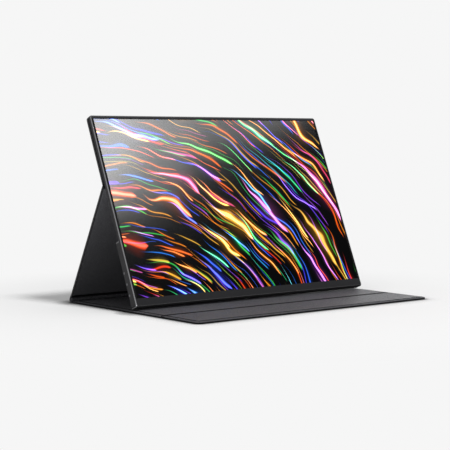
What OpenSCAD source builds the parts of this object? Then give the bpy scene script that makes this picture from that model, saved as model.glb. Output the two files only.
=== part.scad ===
// Portable monitor standing in its folding cover.
// X runs across the screen, +Y points away from the viewer and Z is up.
// The origin is on the table, at the middle of the cover's width and depth.
// The monitor's own pieces are drawn upright, as [across, depth from the front face, height],
// and on_monitor() leans them back. The cover's panels are drawn lying flat, outside down.

/* [Monitor] */
// Width of the monitor
monitor_w = 353; // [300:1:430]
// Height of the monitor along its face
monitor_h = 230; // [205:1:280]
// Thickness of the upper part
thin_t = 4.5; // [4.3:0.1:6]
// Thickness at the hump
hump_t = 9.8; // [9.2:0.1:12]
// Height of the hump
hump_h = 78.5; // [77:0.5:96]
// Lean of the screen back from upright, in degrees
tilt = 23; // [18:0.25:28]
// Radius of the monitor's four corners
corner_r = 3; // [2:0.5:5]
// Black border beside the lit area
side_bezel = 4.15; // [3.6:0.05:8]
// Black border over the lit area
top_bezel = 4.3; // [3.8:0.1:8]
// Matt strip under the lit area
chin_h = 10.3; // [9:0.1:14]
// Bright bevel round the front edge
bevel = 1.1; // [0.5:0.1:1.2]

/* [Cover] */
// Thickness of each stiff panel
panel_t = 2.8; // [2.3:0.1:3.4]
// How far the cover passes the monitor at each side
cover_lip = 0.5; // [0.4:0.1:3]
// Extra depth of the cover over the monitor's height, for the spine
spine_allowance = 10; // [8:0.5:16]
// Length of the panel held to the monitor's back
upper_len = 83; // [60:1:120]
// Length of the front flap, from the crease to the front edge
flap_len = 62.2; // [40:0.1:75]
// Distance from the front edge to the monitor's bottom edge
stand_front = 117; // [100:1:125]
// Radius of the flap's front corners
flap_corner_r = 6; // [3:0.5:10]
// Radius of the upper panel's top corners
upper_corner_r = 4; // [2:0.5:8]
// Turned border round each panel's lining
rim_w = 1.8; // [1:0.1:3]
// Soft band beside the rounded fold
soft_band = 6.5; // [4:0.5:9]

/* [Controls and ports] */
// Radius of a button
button_r = 1.45; // [1.2:0.05:1.6]
// How far a button stands out of the side
button_out = 0.35; // [0.2:0.05:0.4]
// Travel of a button
button_travel = 0.4; // [0.2:0.05:0.45]
// Height of the lowest button up the side
button_low = 15.8; // [13:0.1:17]
// Distance from one button to the next
button_pitch = 13; // [10:0.1:14]
// Height of the status light up the side
light_h = 65; // [60:0.5:68]
// Radius of the audio socket's bore
jack_r = 1.8; // [1.75:0.05:1.85]

/* [Hidden] */
$fn = 48;
fit = 0.1;          // clearance between pieces that are assembled together
soft_gap = 0.3;     // clearance between soft pieces and their neighbours
film_gap = 0.05;    // clearance between stacked films

// Cover, seen from the side
cover_w = monitor_w + 2 * cover_lip;
cover_depth = monitor_h + spine_allowance;
front_y = -cover_depth / 2;
crease_y = front_y + flap_len;
crease_gap = 0.15;
fold_r = panel_t;
fold_y = cover_depth / 2 - fold_r;
seat_z = panel_t + soft_gap;              // height of the rear fold's axis and of the monitor's bottom edge
base_end_y = fold_y - fold_r - soft_gap;
stiff_end_y = base_end_y - soft_band;
skin_t = 0.5;
lining_t = 0.5;
board_t = panel_t - skin_t - lining_t;
soft_t = 1.4;
fold_rim = 0.8;

// The triangle: foot of the prop, top fold and monitor's bottom edge
seat_y = front_y + stand_front;
upper_face_w = thin_t + soft_gap + panel_t;
rise = monitor_h - upper_len;
top_fold_y = seat_y + rise * sin(tilt) - (hump_t - upper_face_w) * cos(tilt);
top_fold_z = seat_z + rise * cos(tilt) + (hump_t - upper_face_w) * sin(tilt);
chord = norm([fold_y - top_fold_y, top_fold_z - seat_z]);
prop_len = sqrt(chord * chord - panel_t * panel_t);
prop_angle = atan2(top_fold_z - seat_z, fold_y - top_fold_y) - asin(panel_t / chord);
prop_start = fold_r + soft_gap;

// Monitor casing
half_w = monitor_w / 2;
side_wall = 1.5;
inner_r = 0.8;        // radius of the casing's inner corners
back_wall = 0.9;
thin_wall = 1.2;
seam_w = 2.9;
cavity_x = half_w - side_wall;
cavity_back = hump_t - back_wall;
back_bevel = 1;
thin_bevel = 0.8;
cavity_top = hump_h - 1.2;

// Display stack, as depths from the front face
bezel_t = 0.35;
polarizer_t = 0.15;
glass_t = 0.5;
film_t = 0.15;
guide_t = 0.6;
tray_t = 0.25;
front_pol_w = bezel_t + film_gap;
glass_w = front_pol_w + polarizer_t;
rear_pol_w = glass_w + glass_t;
prism_w = rear_pol_w + polarizer_t + film_gap;
diffuser_w = prism_w + 2 * film_t;
guide_w = diffuser_w + film_t + film_gap;
reflector_w = guide_w + guide_t;
tray_w = reflector_w + film_t + film_gap;
tray_back = tray_w + tray_t;
lip_t = 0.2;
panel_x = cavity_x - 0.65;
panel_low = 4.3;
panel_top = monitor_h - side_wall - 2 * fit;
frame_rib = 1.2;
film_x = panel_x - lip_t - frame_rib - fit;
film_low = 9.5;
film_top = panel_top - lip_t - frame_rib - fit;
strip_t = 0.3;
lamp_size = [3, guide_t - 2 * film_gap, 2.5];
lamp_pitch = 5.8;
lit_x = half_w - side_bezel;
lit_top = monitor_h - top_bezel;

// Main board and what is on it
board_pcb_t = 0.8;
pcb_w = cavity_back - 2.7;
pcb_back = pcb_w + board_pcb_t;
pcb_left = half_w - 152.5;
pcb_right = half_w - side_wall - 0.4;
pcb_low = 12;
pcb_top = 68;
port_w = pcb_w + board_pcb_t / 2;
usb_heights = [20, 33];
hdmi_h = 48;
jack_h = 62;
port_recess = 0.3;
usb_size = [7.4, 8.94, 3.2];
hdmi_size = [8, 11.2, 3.4];
jack_size = [14, 6.2, 4.7];
jack_w = cavity_back - 2.95;
jack_nose_r = 2.3;
pcb_screws = [[pcb_left + 4, pcb_low + 4], [pcb_left + 4, pcb_top - 4], [pcb_left + 74, pcb_low + 4],
    [pcb_left + 74, pcb_top - 4], [pcb_right - 20, pcb_low + 3], [pcb_right - 20, pcb_top - 3.5]];
screw_r = 0.95;
head_r = 1.9;
head_t = 0.75;
boss_r = 2.4;
shell_screw_x = half_w - 10.5;
shell_screw_heights = [6, hump_h - 5];
post_back = cavity_back - 1.8;
ledge = 0.5;          // how far the frame's screw tabs stand in from its wall
// Each chip's centre across and up, its side and its thickness
chip_spots = [[pcb_left + 34, 41, 14, 1.1], [pcb_left + 56, 48, 9, 0.9], [pcb_left + 56, 34, 7, 0.9],
    [pcb_left + 112, 26, 6, 0.9], [pcb_left + 112, 40, 5, 0.9], [pcb_left + 100, 54, 7, 0.9]];
can_low = [pcb_left + 22, 27];
can_size = [44, 30];
can_t = 0.2;
can_back = cavity_back - 0.4;
socket_x = pcb_left + 20;
socket_size = [18, 5];
socket_low = 24;
socket_front = pcb_w - 1.1;

// Panel driver board
driver_half = 100;
driver_low = 6;
driver_h = 10;
driver_t = 0.7;
driver_w = tray_back + film_gap;
driver_back = driver_w + driver_t;
flex_count = 6;
flex_pitch = 32;
flex_w = 24;
flex_t = 0.12;

// Keys on the left side
key_w = cavity_back - 2;
key_heights = [for (i = [0:2]) button_low + i * button_pitch];
flange_r = button_r + 0.4;
flange_t = 0.4;
flange_x = -cavity_x + fit;
actuator_x = flange_x + flange_t + button_travel + 0.05;
switch_x = actuator_x + 0.35;
switch_t = 1.5;
key_pcb_x = switch_x + switch_t;
key_pcb_t = 0.8;
key_pcb_w = [cavity_back - 4.1, cavity_back - fit];
key_pcb_h = [8, 70];
light_w = cavity_back - 3.3;
light_r = 0.7;

// Speakers
speaker_size = [44, 4, 9.2];
speaker_x = half_w - 46.5;
speaker_low = 2.2;
gasket_t = 0.4;
speaker_front = cavity_back - speaker_size[1] - gasket_t;
slot_size = [1.2, 5];
slot_pitch = 3;
slot_count = 11;

// Pieces of steel and magnets that hold the cover
plate_size = [64, 0.35, 44];
plate_pitch = 118;
plate_h = monitor_h - 43;
magnet_r = 5;
magnet_t = 1.2;
flap_magnet_r = 4;
flap_magnet_t = 1;
flap_magnet_insets = [24, 54];
flap_magnet_edge = 14;
magnet_rows = [24, upper_len - 20];
magnet_half_pitch = 18;
cable_t = 0.2;
key_cable_h = [30, 34];
wire_r = 0.5;

// ---- shared shapes ----

// Rectangle centred on x, from y = 0 to y = d, with its own radius at the near and far corners
module sheet(w, d, near_r = 0, far_r = 0) {
    translate([-w / 2, near_r]) square([w, d - near_r - far_r]);
    if (near_r > 0) {
        translate([-w / 2 + near_r, 0]) square([w - 2 * near_r, near_r]);
        for (side = [-1, 1]) translate([side * (w / 2 - near_r), near_r]) circle(near_r);
    }
    if (far_r > 0) {
        translate([-w / 2 + far_r, d - far_r]) square([w - 2 * far_r, far_r]);
        for (side = [-1, 1]) translate([side * (w / 2 - far_r), d - far_r]) circle(far_r);
    }
}

// One layer of a panel inside its border, from z to z + t
module panel_layer(d, near_rim, far_rim, z, t, near_r = 0, far_r = 0) {
    near_inner = max(near_r - near_rim, 0);
    far_inner = max(far_r - far_rim, 0);
    translate([0, near_rim, z]) linear_extrude(t)
        sheet(cover_w - 2 * rim_w, d - near_rim - far_rim, near_inner, far_inner);
}

// Skin of a stiff panel: an outside face with a turned border, open for the board and the lining
module panel_skin(d, near_rim, far_rim, near_r = 0, far_r = 0) difference() {
    linear_extrude(panel_t) sheet(cover_w, d, near_r, far_r);
    panel_layer(d, near_rim, far_rim, skin_t, panel_t, near_r, far_r);
}

// Places of the cover's panels, each from its own lying-flat frame
module on_prop() translate([0, fold_y, seat_z]) rotate([180 - prop_angle, 0, 0])
    translate([0, 0, -panel_t]) children();
module on_monitor() translate([0, seat_y, seat_z]) rotate([-tilt, 0, 0])
    translate([0, -hump_t, 0]) children();
module on_upper() on_monitor() translate([0, upper_face_w, rise]) rotate([90, 0, 0]) children();
module on_flap() translate([0, front_y, 0]) children();

// Box given by its lowest and highest corners
module span(low, high) translate(low) cube(high - low);

// Cylinder along the monitor's depth, from depth a to depth b
module bar_w(x, a, b, h, r) translate([x, a, h]) rotate([-90, 0, 0]) cylinder(h = b - a, r = r);

// Cylinder along x, from a to b
module bar_x(a, b, w, h, r) translate([a, w, h]) rotate([0, 90, 0]) cylinder(h = b - a, r = r);

// Flat sheet of the display, from depth w, in the monitor's frame
module film(x, low, top, w, t) span([-x, w, low], [x, w + t, top]);

// The monitor's outline as a plate from depth a to depth b, drawn in by inset, with corners of radius r
module outline(a, b, inset = 0, r = corner_r) {
    translate([0, b, inset]) rotate([90, 0, 0]) linear_extrude(b - a)
        sheet(monitor_w - 2 * inset, monitor_h - 2 * inset, r, r);
}

// The outline from depth 0 to depth b, with its front edge bevelled by c
module bevelled_outline(b, c) {
    outline(c, b);
    translate([0, 0, corner_r]) linear_extrude(monitor_h - 2 * corner_r)
        polygon([[-half_w + c, 0], [half_w - c, 0], [half_w, c], [-half_w, c]]);
    translate([-half_w + corner_r, 0, 0]) rotate([90, 0, 90]) linear_extrude(monitor_w - 2 * corner_r)
        polygon([[0, c], [c, 0], [c, monitor_h], [0, monitor_h - c]]);
    for (side = [-1, 1], h = [corner_r, monitor_h - corner_r])
        translate([side * (half_w - corner_r), 0, h]) rotate([-90, 0, 0])
            cylinder(h = c, r1 = corner_r - c, r2 = corner_r);
}

// ---- cover: base, which lies on the table ----

module base_skin() color([0.13, 0.13, 0.135]) difference() {
    translate([0, crease_y + crease_gap, 0]) linear_extrude(panel_t)
        sheet(cover_w, base_end_y - crease_y - crease_gap);
    translate([0, crease_y + fold_rim, skin_t]) linear_extrude(panel_t)
        sheet(cover_w - 2 * rim_w, stiff_end_y - crease_y - fold_rim);
    span([-cover_w, stiff_end_y, skin_t], [cover_w, base_end_y + 1, panel_t + 1]);
}

module base_board() color([0.35, 0.3, 0.25]) translate([0, crease_y + fold_rim, skin_t])
    linear_extrude(board_t) sheet(cover_w - 2 * rim_w, stiff_end_y - crease_y - fold_rim);

module base_lining() color([0.2, 0.2, 0.21]) {
    translate([0, crease_y + fold_rim, skin_t + board_t]) linear_extrude(lining_t)
        sheet(cover_w - 2 * rim_w, stiff_end_y - crease_y - fold_rim);
    translate([0, stiff_end_y, skin_t]) linear_extrude(soft_t - skin_t)
        sheet(cover_w - 2 * rim_w, base_end_y - stiff_end_y - fold_rim);
}

// ---- cover: flap in front of the crease ----

module flap_panel(z, t) on_flap() panel_layer(flap_len, rim_w, fold_rim, z, t, flap_corner_r);

module flap_magnet_places() for (side = [-1, 1], inset = flap_magnet_insets)
    translate([side * (cover_w / 2 - inset), front_y + flap_magnet_edge, skin_t + board_t - flap_magnet_t])
        children();

module flap_skin() color([0.13, 0.13, 0.135]) on_flap() intersection() {
    panel_skin(flap_len, rim_w, fold_rim, flap_corner_r);
    span([-cover_w, -1, -1], [cover_w, flap_len - crease_gap, panel_t + 1]);
}

module flap_board() color([0.35, 0.3, 0.25]) difference() {
    flap_panel(skin_t, board_t);
    flap_magnet_places() cylinder(h = board_t, r = flap_magnet_r + fit);
}

module flap_lining() color([0.2, 0.2, 0.21]) flap_panel(skin_t + board_t, lining_t);

module flap_magnets() color([0.7, 0.7, 0.72]) flap_magnet_places()
    cylinder(h = flap_magnet_t, r = flap_magnet_r);

// ---- cover: rounded fold at the rear ----

module spine_skin() color([0.13, 0.13, 0.135]) difference() {
    bar_x(-cover_w / 2, cover_w / 2, fold_y, seat_z, fold_r);
    bar_x(-cover_w / 2 - 1, cover_w / 2 + 1, fold_y, seat_z, fold_r - skin_t);
}

module spine_foam() color([0.3, 0.3, 0.3]) bar_x(-cover_w / 2 + rim_w, cover_w / 2 - rim_w, fold_y, seat_z,
    fold_r - skin_t);

// ---- cover: prop that leans from the fold to the monitor ----

module prop_skin() color([0.13, 0.13, 0.135]) on_prop() translate([0, prop_start, 0])
    panel_skin(prop_len - prop_start - crease_gap, fold_rim, fold_rim);

module prop_board() color([0.35, 0.3, 0.25]) on_prop() translate([0, prop_start, 0])
    panel_layer(prop_len - prop_start - crease_gap, fold_rim, fold_rim, skin_t, board_t);

module prop_lining() color([0.2, 0.2, 0.21]) on_prop() translate([0, prop_start, 0])
    panel_layer(prop_len - prop_start - crease_gap, fold_rim, fold_rim, skin_t + board_t, lining_t);

// ---- cover: upper panel held to the monitor's back by magnets ----

module on_upper_panel() on_upper() translate([0, crease_gap, 0]) children();

module upper_layer(z, t) on_upper_panel()
    panel_layer(upper_len - crease_gap, fold_rim, rim_w, z, t, 0, upper_corner_r);

module holding_magnet_places() on_upper()
    for (side = [-1, 0, 1], x = [-1, 1], row = magnet_rows)
        translate([side * plate_pitch + x * magnet_half_pitch, row, skin_t + board_t - magnet_t]) children();

module upper_skin() color([0.13, 0.13, 0.135]) on_upper_panel()
    panel_skin(upper_len - crease_gap, fold_rim, rim_w, 0, upper_corner_r);

module upper_board() color([0.35, 0.3, 0.25]) difference() {
    upper_layer(skin_t, board_t);
    holding_magnet_places() cylinder(h = board_t, r = magnet_r + fit);
}

module upper_lining() color([0.2, 0.2, 0.21]) upper_layer(skin_t + board_t, lining_t);

module holding_magnets() color([0.7, 0.7, 0.72]) holding_magnet_places()
    cylinder(h = magnet_t, r = magnet_r);

// ---- monitor: casing ----

// Side profile of the casing, as depth and height
shell_profile = [[seam_w, 0], [hump_t - back_bevel, 0], [hump_t, back_bevel], [hump_t, hump_h - back_bevel],
    [hump_t - back_bevel, hump_h], [thin_t, hump_h], [thin_t, monitor_h - thin_bevel],
    [thin_t - thin_bevel, monitor_h], [seam_w, monitor_h]];

module shell_side_profile() translate([-half_w, 0, 0]) rotate([90, 0, 90]) linear_extrude(monitor_w)
    polygon(shell_profile);

// Plan of the casing with bevelled back corners, from height a to height b
module shell_plan(a, b, depth, c) translate([0, 0, a]) linear_extrude(b - a)
    polygon([[-half_w, seam_w], [half_w, seam_w], [half_w, depth - c], [half_w - c, depth],
        [-half_w + c, depth], [-half_w, depth - c]]);

// Round-ended socket opening through the right side, at height h
module socket_hole(h, width, height) translate([half_w + 1, port_w, h]) rotate([0, -90, 0])
    linear_extrude(2 * side_wall + 1) round_slot(width, height);

module board_bosses() for (p = pcb_screws) difference() {
    bar_w(p[0], pcb_back, cavity_back + 0.1, p[1], boss_r);
    bar_w(p[0], pcb_back - 1, cavity_back - 0.1, p[1], screw_r + 0.05);
}

module rear_shell() color([0.16, 0.16, 0.17]) on_monitor() {
    difference() {
        intersection() {
            outline(seam_w, hump_t);
            shell_side_profile();
            union() {
                shell_plan(0, hump_h, hump_t, back_bevel);
                shell_plan(hump_h - 1, monitor_h, thin_t, thin_bevel);
            }
        }
        outline(seam_w - 1, thin_t - thin_wall, side_wall, inner_r);
        span([-cavity_x, seam_w - 1, side_wall], [cavity_x, cavity_back, cavity_top]);
        for (h = key_heights) bar_x(-half_w - 1, -cavity_x + 1, key_w, h, button_r + 0.15);
        bar_x(-half_w - 1, -cavity_x + 1, light_w, light_h, light_r + fit);
        for (h = usb_heights) socket_hole(h, usb_size[1] + 2 * fit, usb_size[2] + 2 * fit);
        span([cavity_x - 1, port_w - hdmi_size[2] / 2 - fit, hdmi_h - hdmi_size[1] / 2 - fit],
            [half_w + 1, port_w + hdmi_size[2] / 2 + fit, hdmi_h + hdmi_size[1] / 2 + fit]);
        bar_x(cavity_x - 1, half_w + 1, jack_w, jack_h, jack_nose_r + fit);
        for (side = [-1, 1], i = [0:slot_count - 1]) speaker_slot(side, i);
        for (side = [-1, 1], h = shell_screw_heights) {
            bar_w(side * shell_screw_x, cavity_back, hump_t + 1, h, head_r + 0.2);
            bar_w(side * shell_screw_x, cavity_back - 1, hump_t, h, screw_r + fit);
        }
    }
    board_bosses();
    for (side = [-1, 1], h = shell_screw_heights) difference() {
        bar_w(side * shell_screw_x, post_back, cavity_back + 0.1, h, boss_r);
        bar_w(side * shell_screw_x, post_back - 1, cavity_back + 1, h, screw_r + fit);
        bar_w(side * shell_screw_x, cavity_back - 0.05, cavity_back + 1, h, head_r + 0.2);
    }
}

module speaker_slot(side, i) {
    x = side * speaker_x + (i - (slot_count - 1) / 2) * slot_pitch;
    h = speaker_low + speaker_size[2] / 2;
    span([x - slot_size[0] / 2, cavity_back - 1, h - slot_size[1] / 2],
        [x + slot_size[0] / 2, hump_t + 1, h + slot_size[1] / 2]);
}

module mid_frame() color([0.3, 0.3, 0.31]) on_monitor() {
    difference() {
        bevelled_outline(seam_w, bevel);
        outline(-1, seam_w + 1, side_wall, inner_r);
    }
    for (side = [-1, 1], h = shell_screw_heights) mirror([side > 0 ? 1 : 0, 0, 0]) difference() {
        union() {
            span([-cavity_x - side_wall / 2, seam_w - 1.5, h - boss_r],
                [-cavity_x + ledge, seam_w, h + boss_r]);
            span([-cavity_x + fit, seam_w - fit, h - boss_r], [-shell_screw_x, seam_w + 1, h + boss_r]);
            bar_w(-shell_screw_x, seam_w, post_back, h, boss_r);
        }
        bar_w(-shell_screw_x, seam_w - 1, post_back + 1, h, screw_r + 0.05);
    }
}

module front_bezel() color([0.03, 0.03, 0.03]) on_monitor() difference() {
    translate([0, bezel_t, chin_h]) rotate([90, 0, 0]) linear_extrude(bezel_t)
        sheet(2 * (cavity_x - fit), monitor_h - side_wall - fit - chin_h, 0, 1.4);
    span([-lit_x, -1, chin_h - 1], [lit_x, 1, lit_top]);
}

module chin_cover() color([0.16, 0.16, 0.165]) on_monitor() translate([0, bezel_t, side_wall + fit])
    rotate([90, 0, 0]) linear_extrude(bezel_t)
        sheet(2 * (cavity_x - fit), chin_h - side_wall - 2 * fit, 1.4, 0);

// ---- monitor: display ----

module front_polarizer() color([0.02, 0.02, 0.02]) on_monitor()
    film(panel_x - 0.8, chin_h - 2.3, panel_top - 0.7, front_pol_w, polarizer_t);

module lcd_glass() color([0.1, 0.12, 0.12]) on_monitor()
    film(panel_x - fit, panel_low + 0.4, panel_top - fit, glass_w, glass_t);

module rear_polarizer() color([0.1, 0.1, 0.1]) on_monitor()
    film(panel_x - 0.8, chin_h - 2.3, panel_top - 0.7, rear_pol_w, polarizer_t);

module prism_sheets() color([0.85, 0.85, 0.85]) on_monitor() for (i = [0, 1])
    film(film_x - i, film_low + i / 2, film_top - i / 2, prism_w + i * film_t, film_t);

module diffuser_sheet() color([0.95, 0.95, 0.95]) on_monitor()
    film(film_x, film_low, film_top, diffuser_w, film_t);

module light_guide() color([0.8, 0.9, 0.9]) on_monitor() film(film_x, film_low, film_top, guide_w, guide_t);

module reflector_sheet() color([0.97, 0.97, 0.97]) on_monitor()
    film(film_x, film_low - 2.6, film_top, reflector_w, film_t);

// Strip along the guide's lower edge, with a row of lamps that touch the guide
module backlight_strip() color([0.9, 0.9, 0.7]) on_monitor() {
    lamps = floor(film_x / lamp_pitch);
    back = film_low - fit - lamp_size[2];
    span([-film_x, guide_w, back - strip_t], [film_x, guide_w + guide_t, back]);
    for (i = [-lamps:lamps]) translate([i * lamp_pitch - lamp_size[0] / 2, guide_w + film_gap, back])
        cube(lamp_size);
}

module panel_frame() color([0.9, 0.9, 0.88]) on_monitor() difference() {
    span([-panel_x + lip_t, rear_pol_w + polarizer_t, panel_low + lip_t],
        [panel_x - lip_t, tray_w, panel_top - lip_t]);
    span([-film_x - fit, 0, film_low - 3], [film_x + fit, tray_w + 1, film_top + fit]);
}

module panel_tray() color([0.6, 0.6, 0.62]) on_monitor() difference() {
    span([-panel_x, prism_w, panel_low], [panel_x, tray_back, panel_top]);
    span([-panel_x + lip_t, prism_w - 1, panel_low + lip_t], [panel_x - lip_t, tray_w, panel_top - lip_t]);
}

module panel_driver_board() color([0.1, 0.35, 0.2]) on_monitor() {
    span([-driver_half, driver_w, driver_low], [driver_half, driver_back, driver_low + driver_h]);
    span([socket_x - socket_size[0] / 2, driver_back, driver_low + 4],
        [socket_x + socket_size[0] / 2, driver_back + 0.9, driver_low + 9]);
}

// Tails that run from the glass round the panel's lower edge to the driver board
flex_front = glass_w + 0.2;
flex_low = panel_low - 1.2;
flex_end = driver_low + 2;
flex_path = [[flex_front, panel_low + 0.4], [flex_front, flex_low], [driver_back + 0.1, flex_low],
    [driver_back + 0.1, flex_end], [driver_back, flex_end], [driver_back, flex_low + flex_t],
    [flex_front + flex_t, flex_low + flex_t], [flex_front + flex_t, panel_low + 0.4]];

module driver_flexes() color([0.75, 0.5, 0.15]) on_monitor() for (i = [0:flex_count - 1])
    translate([(i - (flex_count - 1) / 2) * flex_pitch - flex_w / 2, 0, 0]) rotate([90, 0, 90])
        linear_extrude(flex_w) polygon(flex_path);

module steel_plates() color([0.6, 0.6, 0.6]) on_monitor() for (side = [-1, 0, 1])
    translate([side * plate_pitch - plate_size[0] / 2, thin_t - thin_wall - plate_size[1],
        plate_h - plate_size[2] / 2]) cube(plate_size);

// ---- monitor: electronics in the hump ----

module main_board() color([0.08, 0.3, 0.18]) on_monitor() difference() {
    span([pcb_left, pcb_w, pcb_low], [pcb_right, pcb_back, pcb_top]);
    for (h = usb_heights) port_notch(h, usb_size[1], usb_size[0]);
    port_notch(hdmi_h, hdmi_size[1], hdmi_size[0]);
    port_notch(jack_h, jack_size[1], jack_size[0]);
    for (p = pcb_screws) bar_w(p[0], pcb_w - 1, pcb_back + 1, p[1], screw_r + fit);
}

module port_notch(h, width, deep) span([half_w - port_recess - deep - fit, pcb_w - 1, h - width / 2 - fit],
    [half_w, pcb_back + 1, h + width / 2 + fit]);

module board_chips() color([0.07, 0.07, 0.07]) on_monitor() for (c = chip_spots)
    span([c[0] - c[2] / 2, pcb_back, c[1] - c[2] / 2], [c[0] + c[2] / 2, pcb_back + c[3], c[1] + c[2] / 2]);

module shield_can() color([0.75, 0.75, 0.76]) on_monitor() difference() {
    span([can_low[0], pcb_back, can_low[1]], [can_low[0] + can_size[0], can_back, can_low[1] + can_size[1]]);
    span([can_low[0] + can_t, pcb_back - 1, can_low[1] + can_t],
        [can_low[0] + can_size[0] - can_t, can_back - can_t, can_low[1] + can_size[1] - can_t]);
}

module thermal_pad() color([0.7, 0.75, 0.85]) on_monitor() {
    c = chip_spots[0];
    half = c[2] / 2 - 1;
    span([c[0] - half, pcb_back + c[3], c[1] - half], [c[0] + half, can_back - can_t, c[1] + half]);
}

module panel_socket() color([0.9, 0.88, 0.8]) on_monitor()
    span([socket_x - socket_size[0] / 2, socket_front, socket_low],
        [socket_x + socket_size[0] / 2, pcb_w, socket_low + socket_size[1]]);

module panel_cable() color([0.85, 0.85, 0.8]) on_monitor() {
    start = driver_back + 0.4;
    finish = (socket_front + pcb_w) / 2;
    low = driver_low + 9;
    translate([socket_x - 8, 0, 0]) rotate([90, 0, 90]) linear_extrude(16)
        polygon([[start, low], [start, low + 2], [finish, socket_low - 2], [finish, socket_low],
            [finish + cable_t, socket_low], [finish + cable_t, socket_low - 2],
            [start + cable_t, low + 2], [start + cable_t, low]]);
}

module usb_c_ports() color([0.75, 0.75, 0.77]) on_monitor() for (h = usb_heights)
    translate([half_w - port_recess, port_w, h]) rotate([0, -90, 0]) {
        difference() {
            linear_extrude(usb_size[0]) round_slot(usb_size[1], usb_size[2]);
            translate([0, 0, -1]) linear_extrude(usb_size[0] - 0.5)
                round_slot(usb_size[1] - 0.6, usb_size[2] - 0.6);
        }
        translate([0, 0, 1]) linear_extrude(usb_size[0] - 1.6) square([6.7, 0.7], center = true);
    }

// Slot with round ends, drawn along x
module round_slot(width, height) {
    for (end = [-1, 1]) translate([end * (width - height) / 2, 0]) circle(d = height);
    square([width - height, height], center = true);
}

module hdmi_port() color([0.75, 0.75, 0.77]) on_monitor()
    translate([half_w - port_recess, port_w, hdmi_h]) rotate([0, -90, 0]) {
        difference() {
            linear_extrude(hdmi_size[0]) hdmi_outline(hdmi_size[1], hdmi_size[2]);
            translate([0, 0, -1]) linear_extrude(hdmi_size[0] - 0.5)
                hdmi_outline(hdmi_size[1] - 0.7, hdmi_size[2] - 0.7);
        }
        translate([0, 0, 1]) linear_extrude(hdmi_size[0] - 1.6) square([8, 0.7], center = true);
    }

// Socket outline whose two outer corners are cut
module hdmi_outline(width, height) polygon([[-width / 2, height / 2], [-width / 2, -height / 6],
    [-width / 2 + height / 3, -height / 2], [width / 2 - height / 3, -height / 2],
    [width / 2, -height / 6], [width / 2, height / 2]]);

module audio_jack() color([0.1, 0.1, 0.1]) on_monitor() difference() {
    union() {
        span([half_w - port_recess - jack_size[0], jack_w - jack_size[2] / 2, jack_h - jack_size[1] / 2],
            [cavity_x - fit, jack_w + jack_size[2] / 2, jack_h + jack_size[1] / 2]);
        bar_x(cavity_x - 1, half_w - port_recess, jack_w, jack_h, jack_nose_r);
    }
    bar_x(half_w - jack_size[0], half_w + 1, jack_w, jack_h, jack_r);
}

// ---- monitor: keys on the left side ----

module key_board() color([0.1, 0.35, 0.2]) on_monitor()
    span([key_pcb_x, key_pcb_w[0], key_pcb_h[0]], [key_pcb_x + key_pcb_t, key_pcb_w[1], key_pcb_h[1]]);

module key_switches() color([0.65, 0.65, 0.67]) on_monitor() for (h = key_heights) {
    span([switch_x, key_w - 1.5, h - 2], [key_pcb_x, key_w + 1.5, h + 2]);
    bar_x(actuator_x, switch_x + 0.1, key_w, h, 0.7);
}

module push_button(i) on_monitor() {
    bar_x(-half_w - button_out, flange_x + flange_t, key_w, key_heights[i], button_r);
    bar_x(flange_x, flange_x + flange_t, key_w, key_heights[i], flange_r);
}

module minus_button() color([0.3, 0.3, 0.31]) push_button(0);
module plus_button() color([0.3, 0.3, 0.31]) push_button(1);
module power_button() color([0.3, 0.3, 0.31]) push_button(2);

module light_pipe() color([0.85, 0.9, 0.9]) on_monitor() {
    bar_x(-half_w + 0.2, key_pcb_x - 0.4, light_w, light_h, light_r);
    span([key_pcb_x - 0.8, light_w - 1, light_h - 1], [key_pcb_x, light_w + 1, light_h + 1]);
}

// Flat cable from the key board along the back wall to the main board
module key_cable() color([0.85, 0.85, 0.8]) on_monitor() {
    a = key_pcb_x + key_pcb_t;
    b = pcb_left + 1;
    wall = cavity_back - 0.1;
    translate([0, 0, key_cable_h[0]]) linear_extrude(key_cable_h[1] - key_cable_h[0])
        polygon([[a, key_w], [a + 1, key_w], [a + 3, wall - cable_t], [b - 2, wall - cable_t],
            [b, pcb_back], [b + 3, pcb_back], [b + 3, pcb_back + cable_t], [b + 0.1, pcb_back + cable_t],
            [b - 1.9, wall], [a + 2.9, wall], [a + 0.9, key_w + cable_t], [a, key_w + cable_t]]);
}

// ---- monitor: speakers and fasteners ----

module speaker(side) on_monitor() {
    translate([side * speaker_x - speaker_size[0] / 2, speaker_front, speaker_low]) difference() {
        cube(speaker_size);
        translate([12, speaker_size[1] - 0.6, 1]) cube([speaker_size[0] - 24, 1, speaker_size[2] - 2]);
    }
}

module left_speaker() color([0.08, 0.08, 0.08]) speaker(-1);
module right_speaker() color([0.08, 0.08, 0.08]) speaker(1);

module speaker_gaskets() color([0.2, 0.2, 0.2]) on_monitor() for (side = [-1, 1])
    translate([side * speaker_x - speaker_size[0] / 2, speaker_front + speaker_size[1], speaker_low])
        difference() {
            cube([speaker_size[0], gasket_t, speaker_size[2]]);
            translate([4, -1, 2]) cube([speaker_size[0] - 8, 2, speaker_size[2] - 4]);
        }

// Leads from the speakers to the main board's lower edge
module speaker_wires() color([0.6, 0.1, 0.1]) on_monitor() {
    w = speaker_front + 2;
    h = speaker_low + speaker_size[2] / 2;
    near = pcb_left + 8;
    bar_x(-speaker_x + speaker_size[0] / 2, near, w, h, wire_r);
    bar_x(near, speaker_x - speaker_size[0] / 2, w, h, wire_r);
    translate([near, w, h]) cylinder(h = pcb_low - h, r = wire_r);
}

module board_screws() color([0.6, 0.6, 0.62]) on_monitor() for (p = pcb_screws) {
    bar_w(p[0], pcb_w - head_t, pcb_w, p[1], head_r);
    bar_w(p[0], pcb_w, cavity_back - 0.3, p[1], screw_r);
}

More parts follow.
